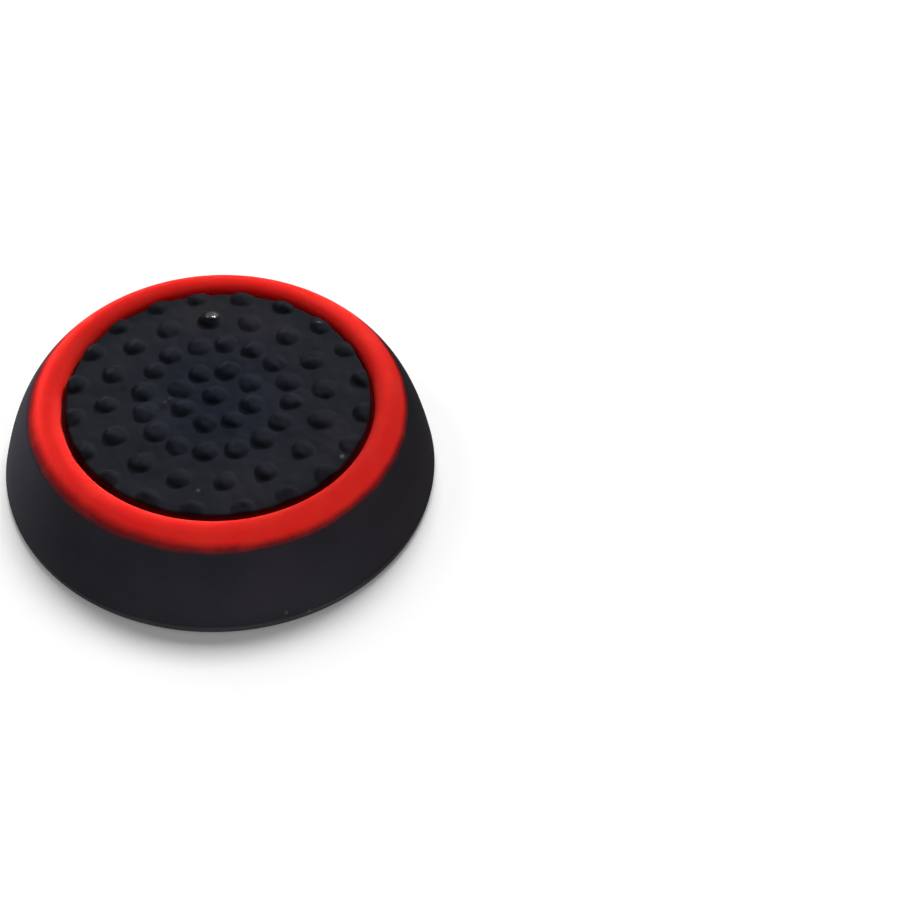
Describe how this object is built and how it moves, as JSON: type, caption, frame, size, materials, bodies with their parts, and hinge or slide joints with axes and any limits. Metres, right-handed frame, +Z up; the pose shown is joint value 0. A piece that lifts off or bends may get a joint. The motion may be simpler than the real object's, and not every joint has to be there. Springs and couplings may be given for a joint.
{
  "type": "controller thumb grip",
  "caption": "Round black silicone cap for a thumbstick, with a raised red rim, a nubbed pad and an open pocket underneath.",
  "frame": {"origin": "on the axis, in the plane of the open lower edge, where the cap stands on a surface", "axes": "+Z up along the axis, out of the nubbed pad; +X and +Y lie in the plane of the lower edge"},
  "size_m": [0.023, 0.023, 0.0055],
  "materials": {
    "black_silicone": "matt with a soft sheen",
    "red_silicone": "satin"
  },
  "bodies": {
    "root": {"grip_body": "black_silicone", "rim_ring": "red_silicone"}
  },
  "joints": []
}
